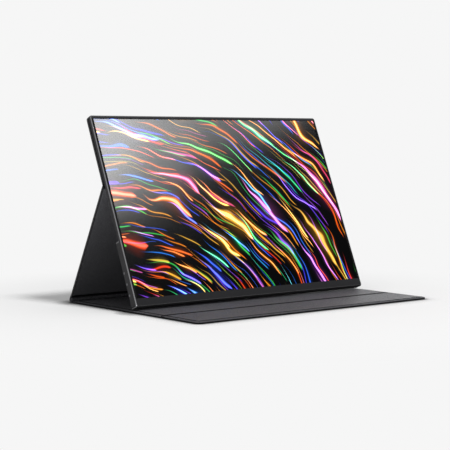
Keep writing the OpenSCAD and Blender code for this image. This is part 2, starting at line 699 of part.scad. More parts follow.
module shell_screws() color([0.2, 0.2, 0.2]) on_monitor() for (side = [-1, 1], h = shell_screw_heights)
    difference() {
        union() {
            bar_w(side * shell_screw_x, cavity_back, cavity_back + head_t, h, head_r);
            bar_w(side * shell_screw_x, seam_w + 1.2, cavity_back, h, screw_r);
        }
        translate([side * shell_screw_x, cavity_back + head_t, h]) rotate([0, 45, 0]) {
            cube([2.2, 0.7, 0.4], center = true);
            cube([0.4, 0.7, 2.2], center = true);
        }
    }

base_skin();
base_board();
base_lining();
flap_skin();
flap_board();
flap_lining();
flap_magnets();
spine_skin();
spine_foam();
prop_skin();
prop_board();
prop_lining();
upper_skin();
upper_board();
upper_lining();
holding_magnets();
rear_shell();
mid_frame();
front_bezel();
chin_cover();
front_polarizer();
lcd_glass();
rear_polarizer();
prism_sheets();
diffuser_sheet();
light_guide();
reflector_sheet();
backlight_strip();
panel_frame();
panel_tray();
panel_driver_board();
driver_flexes();
steel_plates();
main_board();
board_chips();
shield_can();
thermal_pad();
panel_socket();
panel_cable();
usb_c_ports();
hdmi_port();
audio_jack();
key_board();
key_switches();
key_cable();
light_pipe();
left_speaker();
right_speaker();
speaker_gaskets();
speaker_wires();
board_screws();
shell_screws();
power_button();
plus_button();
minus_button();
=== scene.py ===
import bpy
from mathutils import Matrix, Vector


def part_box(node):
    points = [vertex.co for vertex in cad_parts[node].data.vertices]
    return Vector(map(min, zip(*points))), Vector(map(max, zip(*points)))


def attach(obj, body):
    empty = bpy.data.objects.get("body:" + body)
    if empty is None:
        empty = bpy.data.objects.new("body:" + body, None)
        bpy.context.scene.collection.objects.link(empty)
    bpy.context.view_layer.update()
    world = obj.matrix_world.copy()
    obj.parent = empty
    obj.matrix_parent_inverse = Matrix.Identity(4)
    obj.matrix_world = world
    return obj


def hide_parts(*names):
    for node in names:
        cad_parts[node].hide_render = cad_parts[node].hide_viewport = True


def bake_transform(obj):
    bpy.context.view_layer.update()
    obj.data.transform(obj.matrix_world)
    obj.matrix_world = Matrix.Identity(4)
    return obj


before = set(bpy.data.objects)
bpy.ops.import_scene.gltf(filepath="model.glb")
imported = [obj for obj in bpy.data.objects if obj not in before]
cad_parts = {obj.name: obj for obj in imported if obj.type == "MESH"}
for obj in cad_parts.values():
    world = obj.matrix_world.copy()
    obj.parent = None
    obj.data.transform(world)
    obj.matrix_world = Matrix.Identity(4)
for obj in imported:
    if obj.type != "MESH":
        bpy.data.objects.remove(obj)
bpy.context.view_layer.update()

import math

import bmesh
import bpy
from mathutils import Matrix, Vector, noise

mm = 0.001
print("frame loaded:", len(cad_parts), "nodes")


# where the part's planes lie, in millimetres and degrees
layout = {
    "halfCover": 177.0, "panel": 2.8, "front": -120.0, "crease": -57.8, "stiffEnd": 107.6,
    "foldY": 117.2, "foldZ": 3.1, "propAngle": 63.49, "propStart": 3.1, "propEnd": 150.62,
    "seatY": -3.0, "tilt": 23.0, "hump": 9.8, "upperDepth": 7.6, "rise": 147.0, "upperLength": 83.0,
    "halfScreen": 176.5, "screenHeight": 230.0, "topFold": (52.412, 139.274),
    "gap": 0.15, "overlap": 0.8,
}


def turned(angle):
    return Matrix.Rotation(math.radians(angle), 4, "X")


def moved(x, y, z):
    return Matrix.Translation((x, y, z))


onMonitor = (moved(0, layout["seatY"], layout["foldZ"]) @ turned(-layout["tilt"])
             @ moved(0, -layout["hump"], 0))
onUpper = onMonitor @ moved(0, layout["upperDepth"], layout["rise"]) @ turned(90)
onProp = (moved(0, layout["foldY"], layout["foldZ"]) @ turned(180 - layout["propAngle"])
          @ moved(0, 0, -layout["panel"]))
screenUp = onMonitor.to_3x3() @ Vector((0, 0, 1))
screenBack = onMonitor.to_3x3() @ Vector((0, 1, 0))
screenFoot = (onMonitor @ Vector((0, 0, 0))) * mm


def tone(red, green, blue):  # a colour as it looks on a display, 0 to 255
    return tuple((c / 255 / 12.92 if c <= 10.3 else ((c / 255 + 0.055) / 1.055) ** 2.4)
                 for c in (red, green, blue)) + (1.0,)


class Wire:  # one output of a finish's nodes, ready for sums
    def __init__(self, finish, socket):
        self.finish = finish
        self.socket = socket

    def sum(self, operation, *values):
        return self.finish.add("Math", {"operation": operation}, dict(enumerate(values)))

    def __add__(self, other):
        return self.sum("ADD", self, other)

    def __sub__(self, other):
        return self.sum("SUBTRACT", self, other)

    def __mul__(self, other):
        return self.sum("MULTIPLY", self, other)

    def __truediv__(self, other):
        return self.sum("DIVIDE", self, other)

    def __pow__(self, other):
        return self.sum("POWER", self, other)

    def __lt__(self, other):
        return self.sum("LESS_THAN", self, other)

    def __rsub__(self, other):
        return self.sum("SUBTRACT", other, self)

    def __neg__(self):
        return self.sum("MULTIPLY", self, -1)

    __radd__ = __add__
    __rmul__ = __mul__


class Finish:  # a material, or the studio's world, and the calls that fill it
    def __init__(self, name, kind="materials"):
        self.material = getattr(bpy.data, kind).new(name)
        self.material.use_nodes = True
        self.tree = self.material.node_tree
        self.tree.nodes.clear()
        self.place = self.add("TexCoord", {}, {}, "Object")

    def add(self, kind, settings, sockets, out=0):
        node = self.tree.nodes.new("ShaderNode" + kind)
        for key, value in settings.items():
            if key == "stops":
                ramp = node.color_ramp.elements
                while len(ramp) < len(value):
                    ramp.new(0.5)
                for element, (position, colour) in zip(ramp, value):
                    element.position, element.color = position, colour
            elif key == "blend":
                node.color_ramp.interpolation = value
            else:
                setattr(node, key, value)
        for key, value in sockets.items():
            if isinstance(value, Wire):
                self.tree.links.new(value.socket, node.inputs[key])
            else:
                node.inputs[key].default_value = value
        return Wire(self, node.outputs[out]) if len(node.outputs) else None

    def split(self, vector):
        return [self.add("SeparateXYZ", {}, {0: vector}, axis) for axis in "XYZ"]

    def noise(self, scale, detail=2.0, rough=0.5, place=None):
        return self.add("TexNoise", {}, {"Vector": place or self.place, "Scale": scale,
                                         "Detail": detail, "Roughness": rough})

    def cells(self, scale, feature="F1", place=None):
        return self.add("TexVoronoi", {"feature": feature},
                        {"Vector": place or self.place, "Scale": scale}, "Distance")

    def stretch(self, factors):
        return self.add("VectorMath", {"operation": "MULTIPLY"}, {0: self.place, 1: factors})

    def along(self, direction, origin):  # distance from origin along a direction, in metres
        return self.add("VectorMath", {"operation": "DOT_PRODUCT"},
                        {0: self.place, 1: direction}, "Value") - Vector(origin).dot(Vector(direction))

    def ease(self, value, low, high):  # 0 below low, 1 above high
        return self.add("MapRange", {"interpolation_type": "SMOOTHSTEP"},
                        {"Value": value, "From Min": low, "From Max": high})

    def rise(self, value, low, high):  # the same, with low and high in millimetres
        return self.ease(value, low * mm, high * mm)

    def magnitude(self, value):
        return self.add("Math", {"operation": "ABSOLUTE"}, {0: value})

    def mix(self, factor, a, b, how="MIX"):
        return self.add("Mix", {"data_type": "RGBA", "blend_type": how}, {0: factor, 6: a, 7: b}, 2)

    def bump(self, height, distance, strength):
        return self.add("Bump", {}, {"Height": height, "Distance": distance, "Strength": strength},
                        "Normal")

    def surface(self, sockets):
        shader = self.add("BsdfPrincipled", {}, sockets)
        self.add("OutputMaterial", {}, {"Surface": shader})
        return self.material


def leatherFinish(name, look):
    f = Finish(name)
    pull = f.add("VectorMath", {"operation": "MULTIPLY_ADD"}, {
        0: f.add("TexNoise", {}, {"Vector": f.place, "Scale": look["grain"] * 0.45}, "Color"),
        1: (0.0011,) * 3, 2: f.place})
    pebbles = f.cells(look["grain"], "F1", pull)
    valleys = f.ease(f.cells(look["grain"], "DISTANCE_TO_EDGE", pull), 0.0, 0.16)
    pores = f.noise(look["grain"] * 3.1, 3)
    creases = f.ease(f.noise(look["grain"] * 0.14, 5, 0.62), 0.42, 0.62)
    mottle = f.noise(24, 3)
    wear = f.rise(f.magnitude(f.split(f.place)[0]), layout["halfCover"] - 2.2, layout["halfCover"] - 0.2)
    height = valleys * 0.8 - pebbles * 0.5 + pores * 0.2 + creases * 0.3
    colour = f.mix(mottle, look["dark"], look["light"])
    colour = f.mix((1 - valleys) * 0.6, colour, look["pit"])
    colour = f.mix(wear * pores * 0.5, colour, look["worn"])
    rough = look["rough"] + 0.1 * mottle + 0.14 * (1 - valleys) - 0.08 * creases
    return f.surface({
        "Base Color": colour, "Roughness": rough,
        "Specular IOR Level": look["specular"], "Sheen Weight": look["sheen"], "Sheen Roughness": 0.5,
        "Normal": f.bump(height, look["depth"], 0.9)})


def liningFinish(name, look):
    f = Finish(name)
    nap = f.noise(1500, 3, 0.75)
    lay = f.noise(1, 3, 0.55, f.stretch((90, 760, 240)))
    mottle = f.noise(17, 4)
    fleck = f.ease(f.noise(2900, 1), 0.52, 0.7) * 0.8 + f.ease(f.noise(950, 2, 0.8), 0.44, 0.7) * 0.7
    colour = f.mix(mottle, look["dark"], look["light"])
    shift = f.ease(f.split(f.place)[look["axis"]], *look["span"])  # painted shading: near black behind the monitor's foot on coverLining as painted shade inside the tent, paler towards the top on propLining as painted light
    colour = f.mix(shift, colour, look["paintedShading"])
    colour = f.mix(f.ease(nap, 0.35, 0.65) * 0.6, look["pit"], colour)
    colour = f.mix(fleck * 0.45, colour, look["fleck"])
    return f.surface({
        "Base Color": colour, "Roughness": look["rough"] + 0.14 * nap - 0.1 * lay + look["dull"] * shift,
        "Specular IOR Level": look["specular"], "Sheen Weight": look["sheen"], "Sheen Roughness": 0.35,
        "Sheen Tint": look["tint"], "Normal": f.bump(nap + lay * 0.5 + fleck * 0.4, look["depth"], 0.8)})


# moulded, sheet and plated goods share one recipe: two tones, a grain and a varying polish
def plainFinish(name, look):
    f = Finish(name)
    broad = f.noise(look.get("patch", 40), 3)
    place = f.stretch(look["brushed"]) if "brushed" in look else None
    size = look.get("grain", 1800)
    grain = f.noise(size if place is None else 1, 3, 0.6, place)
    fine = f.noise(size * 2.7, 2)
    colour = f.mix(broad * 0.6 + grain * 0.4, look["dark"], look["light"])
    speckle = f.ease(fine, 0.58, 0.72) * look.get("fleck", 0.2)
    colour = f.mix(speckle, colour, look.get("spot", look["light"]))
    if "paintedBrowHighlight" in look:  # painted highlight: a paler strip along the monitor's top edge
        paintedBrowHighlight = f.rise(f.along(screenUp, screenFoot),
                      layout["screenHeight"] - 4.5, layout["screenHeight"] - 3.5)
        colour = f.mix(paintedBrowHighlight, colour, look["paintedBrowHighlight"])
    sockets = {"Base Color": colour, "Metallic": look.get("metal", 0.0),
               "Roughness": look["rough"] + (grain - 0.5) * look.get("uneven", 0.12),
               "Normal": f.bump(grain + fine * 0.4, look.get("depth", 0.02) * mm, 0.6)}
    sockets.update(look.get("more", {}))
    return f.surface(sockets)


def paintedCornerHighlight(f, look):  # painted highlight along the sides' lower corners
    up = f.along(screenUp, screenFoot)
    side = f.rise(f.magnitude(f.split(f.place)[0]),
                  layout["halfScreen"] - 1.2, layout["halfScreen"] - 0.7)
    return side * (1 - f.rise(up, look["foot"] * 0.7, look["foot"]))


def frameFinish(look):  # blasted sides, with the front edge cut bright; the cut is dimmed along the top edge and a near-black strip lies at the foot, both painted shade, and the lower side corners carry a painted highlight
    f = Finish("frameMetal")
    depth = f.along(screenBack, screenFoot)
    up = f.along(screenUp, screenFoot)
    cut = (1 - f.rise(depth, look["cut"], look["cut"] + 0.08)) * f.rise(up, 1.2, 1.6)
    # painted shade: the cut is dimmed along the top edge
    top = f.rise(up, layout["screenHeight"] - 1.6, layout["screenHeight"] - 1.2)
    blast = f.noise(3800, 2, 0.6)
    brush = f.noise(1, 4, 0.6, f.stretch((60, 5200, 900)))
    patch = f.noise(30, 3)
    colour = f.mix(patch * 0.6 + blast * 0.4, look["dark"], look["light"])
    colour = f.mix(cut * (1 - top * 0.6), colour, f.mix(brush, look["cutDark"], look["cutLight"]))
    # painted shade: a near-black strip at the foot, where the monitor sits on the cover
    paintedFootShade = 1 - f.rise(up, look["paintedFootShade"], look["paintedFootShade"] + 0.4)
    colour = f.mix(paintedFootShade, colour, look["footShadeTone"])
    # painted highlight on the lower side corners, in the cut's pale tone
    corner = paintedCornerHighlight(f, look)
    colour = f.mix(corner, colour, look["cutLight"])
    height = (1 - cut) * blast + cut * brush * 0.25
    return f.surface({
        "Base Color": colour, "Metallic": 0.3 * (1 - paintedFootShade) + 0.6 * cut + 0.4 * corner,
        "Roughness": 0.5 - 0.22 * cut + 0.1 * (blast - 0.5) + 0.35 * paintedFootShade, "Specular IOR Level": 0.3,
        "Normal": f.bump(height, 0.03 * mm, 0.6)})


def casingFinish(look):  # fine texture, paler along the hump's rear edge; a painted highlight on the hump's top step and on the lower side corners, and painted shade in a near-black strip at the foot
    f = Finish("casing")
    spark = f.cells(2300)
    fine = f.noise(5200, 3, 0.6)
    patch = f.noise(22, 4)
    depth = f.along(screenBack, screenFoot)
    up = f.along(screenUp, screenFoot)
    turn = f.rise(depth, layout["hump"] - 1.05, layout["hump"] - 0.2)
    # painted highlight: a pale band along the hump's top step
    paintedBrowHighlight = f.rise(up, look["paintedBrowHighlight"] - 1.6, look["paintedBrowHighlight"] - 0.8)
    paintedBrowHighlight = paintedBrowHighlight * (1 - f.rise(up, look["paintedBrowHighlight"] + 0.1, look["paintedBrowHighlight"] + 0.6))
    colour = f.mix(patch, look["dark"], look["light"])
    colour = f.mix(f.ease(spark, 0.1, 0.6) * 0.3, colour, look["pit"])
    colour = f.mix(turn * fine * 0.25, colour, look["worn"])
    # painted shade: a near-black strip at the foot, where the monitor sits on the cover
    paintedFootShade = 1 - f.rise(up, look["paintedFootShade"], look["paintedFootShade"] + 0.4)
    colour = f.mix(paintedFootShade, colour, look["footShadeTone"])
    # the painted highlights take the worn tone
    colour = f.mix((paintedBrowHighlight * 0.7 + paintedCornerHighlight(f, look)) * 0.9, colour, look["worn"])
    return f.surface({
        "Base Color": colour, "Metallic": 0.25 * (1 - paintedFootShade),
        "Roughness": 0.46 + 0.12 * fine - 0.06 * patch + 0.35 * paintedFootShade, "Specular IOR Level": 0.3,
        "Normal": f.bump(fine - spark * 0.7, 0.03 * mm, 0.6)})


trailValues = ("gap", "run", "width", "wander", "seed", "share", "power", "hot")
trails = [dict(zip(trailValues, row)) for row in (  # broad ribbons first, then finer threads
    (44, 105, 0.07, 9, 3.1, 0.5, 1.2, 0.1),
    (24, 84, 0.08, 8, 11.7, 0.44, 1.1, 0.3),
    (13.5, 70, 0.1, 6, 23.9, 0.44, 1.1, 0.5),
    (7.6, 100, 0.11, 5, 37.3, 0.4, 1.05, 0.7),
    (4.9, 64, 0.13, 4, 51.1, 0.32, 0.95, 0.9),
    (3.3, 120, 0.15, 4, 67.7, 0.24, 0.8, 0.95))]
picture = {
    "centre": (-190, -110),  # the arcs' centre from the middle of the screen's foot
    "sway": 0.05, "turns": 0.33, "half": 172.35, "chin": 10.3,
    "colours": [(0.0, tone(255, 110, 16)), (0.18, tone(255, 150, 24)), (0.32, tone(255, 198, 70)),
                (0.36, tone(70, 215, 70)), (0.48, tone(60, 230, 120)), (0.52, tone(40, 140, 255)),
                (0.7, tone(66, 66, 255)), (0.78, tone(140, 70, 245)), (0.84, tone(215, 110, 225)),
                (0.88, tone(255, 60, 40)), (0.94, tone(255, 70, 24)), (1.0, tone(255, 110, 16))],
    "glow": 0.1, "hotGain": 2.8, "hotLift": 0.36, "strength": 1.0,
    "black": tone(2, 2, 3), "pixel": tone(4, 4, 5), "rough": 0.145, "specular": 0.012,
}


def screenFinish():  # light trails that sweep in arcs over a black ground
    f = Finish("screen")
    across = f.split(f.place)[0] - picture["centre"][0] * mm
    up = f.along(screenUp, screenFoot) - picture["centre"][1] * mm
    slow = f.noise(9, 2, 0.5)
    radius = f.add("Math", {"operation": "SQRT"}, {0: across * across + up * up})
    angle = f.add("Math", {"operation": "ARCTAN2"}, {0: up, 1: across})
    total = f.add("CombineColor", {}, {0: 0.0, 1: 0.0, 2: 0.0})
    for trail in trails:
        there = f.add("VectorMath", {"operation": "ADD"}, {0: f.place, 1: (trail["seed"],) * 3})
        warp = f.noise(14, 2, 0.45, there)
        bent = radius + (slow - 0.5) * picture["sway"] + (warp - 0.5) * trail["wander"] * 4 * mm
        lane = bent / (trail["gap"] * mm) + trail["seed"]
        laneId = f.add("Math", {"operation": "FLOOR"}, {0: lane})
        off = f.add("TexWhiteNoise", {"noise_dimensions": "2D"},
                    {"Vector": f.add("CombineXYZ", {}, {0: laneId, 1: trail["seed"]})}, "Value")
        step = angle * (picture["turns"] / (trail["run"] * mm)) + off * 7
        stepId = f.add("Math", {"operation": "FLOOR"}, {0: step})
        chance = f.add("TexWhiteNoise", {"noise_dimensions": "3D"},
                       {"Vector": f.add("CombineXYZ", {}, {0: laneId, 1: stepId, 2: trail["seed"]})}, "Color")
        pick, hue, shift = f.split(chance)
        part = f.add("Math", {"operation": "FRACT"}, {0: step})
        side = f.add("Math", {"operation": "FRACT"}, {0: lane}) - 0.32 - shift * 0.36
        body = f.ease(part, 0.03, 0.14) * (1 - f.ease(part, 0.3, 0.97))
        thick = trail["width"] * (0.3 + 0.9 * pick / trail["share"]) * (0.25 + 0.75 * body)
        line = f.add("Math", {"operation": "EXPONENT"}, {0: -((side / thick) ** 4)})
        lit = f.ease(part - side * side * 0.9, 0.03, 0.1)  # a rounded head
        lit = lit * (1 - f.ease(part, 0.55, 0.97)) * (pick < trail["share"])
        colour = f.add("ValToRGB", {"blend": "LINEAR", "stops": picture["colours"]}, {0: hue}, "Color")
        core = f.ease(line, 0.9, 1.0) * f.ease(shift, trail["hot"] - 0.1, trail["hot"] + 0.2)
        glow = f.add("Math", {"operation": "EXPONENT"}, {0: -((side / (thick * 3)) ** 2)})
        glow = glow * picture["glow"] * f.ease(part, 0.05, 0.35) * (1 - f.ease(part, 0.4, 0.9))
        hot = f.add("VectorMath", {"operation": "MULTIPLY_ADD"},
                    {0: colour, 1: (picture["hotGain"],) * 3, 2: (picture["hotLift"],) * 3})
        ink = f.mix(core * 0.9, colour, hot)
        total = f.mix((line + glow) * lit * trail["power"], total, f.mix(1.0, total, ink, "ADD"))
    inside = 1 - f.rise(f.magnitude(f.split(f.place)[0]), picture["half"], picture["half"] + 0.15)
    inside = inside * f.rise(f.along(screenUp, screenFoot), picture["chin"], picture["chin"] + 0.1)
    pixels = f.noise(5200, 0)
    return f.surface({
        "Base Color": f.mix(pixels, picture["black"], picture["pixel"]), "Roughness": picture["rough"],
        "Specular IOR Level": picture["specular"],
        "Emission Color": f.mix(inside, (0, 0, 0, 1), total),
        "Emission Strength": picture["strength"], "Normal": f.bump(pixels, 0.004 * mm, 0.3)})


def boardFinish(name, look):  # solder mask over copper tracks, with pads
    f = Finish(name)
    x, y, z = f.split(f.place)
    up = f.along(screenUp, screenFoot)
    flat = f.add("CombineXYZ", {}, {0: x, 1: up, 2: 0.0})
    bricks = f.add("TexBrick", {"offset": 0.37}, {
        "Vector": flat, "Scale": look["scale"], "Color1": (0, 0, 0, 1), "Color2": (0.15, 0.15, 0.15, 1),
        "Mortar": (1, 1, 1, 1), "Mortar Size": 0.035, "Brick Width": 1.3, "Row Height": 0.12}, "Color")
    tracks = f.add("RGBToBW", {}, {0: bricks})
    pads = 1 - f.ease(f.cells(look["scale"] * 2.2, "F1", flat), 0.12, 0.16)
    patch = f.noise(30, 2)
    colour = f.mix(patch, look["dark"], look["light"])
    colour = f.mix(tracks * 0.6, colour, look["track"])
    colour = f.mix(pads, colour, look["pad"])
    return f.surface({"Base Color": colour, "Metallic": pads * 0.9, "Roughness": 0.34 + 0.1 * patch,
                      "Normal": f.bump(pads + tracks, 0.04 * mm, 0.6)})


finishes = {
    "coverLeather": leatherFinish("coverLeather", {
        "grain": 780, "dark": tone(28, 28, 30), "light": tone(37, 37, 39), "pit": tone(12, 12, 13),
        "worn": tone(60, 60, 62), "rough": 0.4, "specular": 0.4, "sheen": 0.02, "depth": 0.16 * mm}),
    # coverLining: near black behind the monitor's foot, as painted shade inside the tent
    "coverLining": liningFinish("coverLining", {
        "dark": tone(66, 66, 70), "light": tone(82, 82, 87), "pit": tone(34, 34, 36),
        "fleck": tone(126, 126, 132), "axis": 1, "span": (-0.016, 0.024), "paintedShading": tone(4, 4, 5), "dull": 0.4,
        "rough": 0.6, "specular": 0.22, "sheen": 0.01, "tint": tone(190, 190, 200), "depth": 0.12 * mm}),
    # propLining: paler towards its top, as painted light
    "propLining": liningFinish("propLining", {
        "dark": tone(38, 38, 40), "light": tone(46, 46, 49), "pit": tone(26, 26, 28),
        "fleck": tone(80, 80, 83), "axis": 2, "span": (0.0, 0.15), "paintedShading": tone(80, 80, 83), "dull": 0.0,
        "rough": 0.6, "specular": 0.35, "sheen": 0.06, "tint": tone(190, 190, 200), "depth": 0.08 * mm}),
    # near-black finish for painted shade in folds, pressed lines and the lining's edge walls
    "pressedSeam": plainFinish("pressedSeam", {
        "dark": tone(11, 11, 12), "light": tone(20, 20, 21), "rough": 0.85, "grain": 2100, "depth": 0.04,
        "fleck": 0.1, "more": {"Specular IOR Level": 0.05}}),
    # near-black edge paint, which also stands as painted shade on the edge's lower band
    "edgePaint": plainFinish("edgePaint", {
        "dark": tone(8, 8, 9), "light": tone(16, 16, 17), "rough": 0.6, "grain": 1500, "depth": 0.03,
        "spot": tone(34, 34, 36), "more": {"Specular IOR Level": 0.1}}),
    "fibreboard": plainFinish("fibreboard", {
        "dark": tone(96, 82, 66), "light": tone(132, 116, 94), "rough": 0.85, "depth": 0.08, "patch": 60,
        "brushed": (300, 1500, 700), "spot": tone(170, 156, 132)}),
    "magnet": plainFinish("magnet", {
        "dark": tone(150, 150, 154), "light": tone(188, 188, 192), "metal": 1.0, "rough": 0.24,
        "grain": 2600}),
    "casing": casingFinish({
        "dark": tone(26, 26, 28), "light": tone(34, 34, 36), "pit": tone(18, 18, 20),
        "worn": tone(124, 124, 126), "foot": 2.0, "paintedFootShade": 0.25, "footShadeTone": tone(5, 5, 6), "paintedBrowHighlight": 78.5}),
    "frameMetal": frameFinish({
        "dark": tone(25, 25, 27), "light": tone(33, 33, 35), "cut": 0.62, "cutDark": tone(112, 112, 114),
        "cutLight": tone(138, 138, 140), "foot": 2.0, "paintedFootShade": 1.1, "footShadeTone": tone(5, 5, 6)}),
    # bezelBlack: its paler top strip is a painted highlight
    "bezelBlack": plainFinish("bezelBlack", {
        "dark": tone(9, 9, 10), "light": tone(16, 16, 17), "rough": 0.27, "grain": 3000, "uneven": 0.05,
        "fleck": 0.05, "depth": 0.005, "paintedBrowHighlight": tone(42, 42, 44), "more": {"Specular IOR Level": 0.08}}),
    "chinPlastic": plainFinish("chinPlastic", {
        "dark": tone(24, 24, 26), "light": tone(32, 32, 34), "rough": 0.6, "grain": 2400, "fleck": 0.25,
        "spot": tone(56, 56, 59), "depth": 0.04, "more": {"Specular IOR Level": 0.12}}),
    "screen": screenFinish(),
    "panelGlass": plainFinish("panelGlass", {
        "dark": tone(30, 36, 36), "light": tone(44, 52, 52), "rough": 0.08, "uneven": 0.03, "patch": 9,
        "more": {"Coat Weight": 0.5, "Coat Roughness": 0.03}}),
    "film": plainFinish("film", {
        "dark": tone(205, 208, 212), "light": tone(226, 229, 233), "rough": 0.35, "brushed": (40, 5200, 5200),
        "spot": tone(240, 242, 246), "depth": 0.01}),
    "whitePlastic": plainFinish("whitePlastic", {
        "dark": tone(214, 212, 205), "light": tone(232, 231, 226), "rough": 0.42, "grain": 1400}),
    "steel": plainFinish("steel", {
        "dark": tone(140, 140, 143), "light": tone(176, 176, 180), "metal": 1.0, "rough": 0.34,
        "brushed": (60, 2400, 2400), "uneven": 0.2}),
    "circuitBoard": boardFinish("circuitBoard", {
        "scale": 210, "dark": tone(12, 52, 34), "light": tone(18, 70, 46), "track": tone(34, 104, 70),
        "pad": tone(205, 176, 110)}),
    "flexCable": plainFinish("flexCable", {
        "dark": tone(158, 98, 34), "light": tone(196, 132, 52), "rough": 0.36, "brushed": (2600, 120, 120),
        "spot": tone(220, 170, 90), "more": {"Coat Weight": 0.4, "Coat Roughness": 0.2}}),
    "chipBlack": plainFinish("chipBlack", {
        "dark": tone(18, 18, 19), "light": tone(32, 32, 33), "rough": 0.55, "grain": 3600, "depth": 0.02}),
    "smokedPlastic": plainFinish("smokedPlastic", {
        "dark": tone(8, 9, 10), "light": tone(14, 15, 16), "rough": 0.14, "patch": 200,
        "more": {"Specular IOR Level": 0.2}}),
    "wireRubber": plainFinish("wireRubber", {
        "dark": tone(110, 20, 20), "light": tone(150, 34, 30), "rough": 0.5, "grain": 1500}),
    "foam": plainFinish("foam", {
        "dark": tone(36, 36, 37), "light": tone(58, 58, 60), "rough": 0.9, "grain": 1900, "depth": 0.1}),
    "thermalBlue": plainFinish("thermalBlue", {
        "dark": tone(120, 146, 180), "light": tone(146, 170, 200), "rough": 0.6, "grain": 900}),
    "buttonMetal": plainFinish("buttonMetal", {
        "dark": tone(80, 80, 83), "light": tone(104, 104, 107), "metal": 0.95, "rough": 0.3, "grain": 3400,
        "depth": 0.02}),
    "screwBlack": plainFinish("screwBlack", {
        "dark": tone(34, 34, 36), "light": tone(56, 56, 58), "metal": 0.9, "rough": 0.34, "grain": 2600}),
}
nodeFinishes = {
    "fibreboard": ["base_board", "flap_board", "prop_board", "upper_board"],
    "magnet": ["flap_magnets", "holding_magnets"],
    "casing": ["rear_shell"],
    "frameMetal": ["mid_frame"],
    "bezelBlack": ["front_bezel"],
    "chinPlastic": ["chin_cover"],
    "screen": ["front_polarizer"],
    "panelGlass": ["lcd_glass", "rear_polarizer"],
    "film": ["prism_sheets", "diffuser_sheet", "light_guide", "reflector_sheet"],
    "whitePlastic": ["panel_frame", "panel_socket", "panel_cable", "key_cable", "backlight_strip"],
    "steel": ["panel_tray", "steel_plates", "shield_can", "usb_c_ports", "hdmi_port", "key_switches",
              "board_screws"],
    "circuitBoard": ["main_board", "panel_driver_board", "key_board"],
    "flexCable": ["driver_flexes"],
    "chipBlack": ["board_chips", "audio_jack", "left_speaker", "right_speaker"],
    "smokedPlastic": ["light_pipe"],
    "wireRubber": ["speaker_wires"],
    "foam": ["speaker_gaskets", "spine_foam"],
    "thermalBlue": ["thermal_pad"],
    "screwBlack": ["shell_screws"],
    "buttonMetal": ["power_button", "plus_button", "minus_button"],
}
for finishName, members in nodeFinishes.items():
    for member in members:
        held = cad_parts[member].data.materials
        held.clear()
        held.append(finishes[finishName])
print("finishes:", len(finishes))


def makePiece(name, points, faces, finish, place=None, sharp=40, marks=None):
    place = place or Matrix.Identity(4)
    mesh = bpy.data.meshes.new(name)
    mesh.from_pydata([(place @ Vector(p)) * mm for p in points], [], faces)
    shape = bmesh.new()
    shape.from_mesh(mesh)
    bmesh.ops.remove_doubles(shape, verts=shape.verts, dist=1e-7)
    bmesh.ops.recalc_face_normals(shape, faces=shape.faces)
    shape.to_mesh(mesh)
    shape.free()
    for face in mesh.polygons:
        face.use_smooth = True
    mesh.set_sharp_from_angle(angle=math.radians(sharp))
    piece = bpy.data.objects.new(name, mesh)
    bpy.context.scene.collection.objects.link(piece)
    piece.data.materials.append(finishes[finish])
    if marks:  # it says 1 for a face with painted seam shade, 2 for the edge's near-black lower band (edge paint and painted shade), 3 for a turned rim in the lining's colour (a painted highlight), or 0
        for extra in ("pressedSeam", "edgePaint", "coverLining"):
            piece.data.materials.append(finishes[extra])
        back = place.inverted()
        for face in mesh.polygons:
            face.material_index = int(marks(back @ (face.center / mm), back.to_3x3() @ face.normal))
    return piece


def joinRings(rings):  # closed loops of equal length, capped at both ends
    count = len(rings[0])
    points = [p for ring in rings for p in ring]
    faces = []
    for ring in range(len(rings) - 1):
        for i in range(count):
            a, b = ring * count + i, ring * count + (i + 1) % count
            faces.append((a, b, b + count, a + count))
    last = (len(rings) - 1) * count
    faces.append(tuple(reversed(range(count))))
    faces.append(tuple(range(last, last + count)))
    return points, faces


panelBuild = {
    "thick": 2.8, "rimTop": 2.38, "outerRound": 0.8, "rimRound": 0.6, "foldRound": 1.0, "rim": 1.8,
    "foldRim": 3.2, "paint": 1.5, "lap": 0.35, "floor": 0.5, "liningBase": 2.36, "liningRound": 0.16,
    "border": 2.5, "borderWide": 4.0, "pressed": 2.0, "sunk": 0.03, "tightest": 0.25,
}


def outlineRing(panel, side, near, far, height):  # one loop round a panel, set in from its edges
    reach = panel["half"] - side
    low, high = panel["start"] + near, panel["end"] - far
    corners = []
    for sign, end, start, radius in ((1, -1, -90, panel["nearRadius"]), (1, 1, 0, panel["farRadius"]),
                                     (-1, 1, 90, panel["farRadius"]), (-1, -1, 180, panel["nearRadius"])):
        r = max(radius - max(side, 0), panelBuild["tightest"])
        cx = sign * (reach - r)
        cy = low + r if end < 0 else high - r
        angles = [math.radians(start + 15 * k) for k in range(7)]
        corners.append([(cx + r * math.cos(a), cy + r * math.sin(a)) for a in angles])
    ring = []
    for k, corner in enumerate(corners):
        ring += corner
        a, b = corner[-1], corners[(k + 1) % 4][0]
        parts = panel["splits"][k % 2]
        ring += [(a[0] + (b[0] - a[0]) * t / parts, a[1] + (b[1] - a[1]) * t / parts)
                 for t in range(1, parts)]
    shaped = []
    for x, y in ring:  # hand-laid edges are never quite straight
        drift = noise.noise(Vector((x * 0.03, y * 0.03, 4.7))) * panel["drift"]
        outward = 1 if height > 0.01 or side < 0.5 else 0
        shaped.append((x + math.copysign(drift, x) * outward, y, height))
    return shaped


def edgeRims(panel, rim, fold):  # insets at the sides, the near edge and the far edge
    return [rim, rim if panel["nearRim"] else fold, rim if panel["farRim"] else fold]


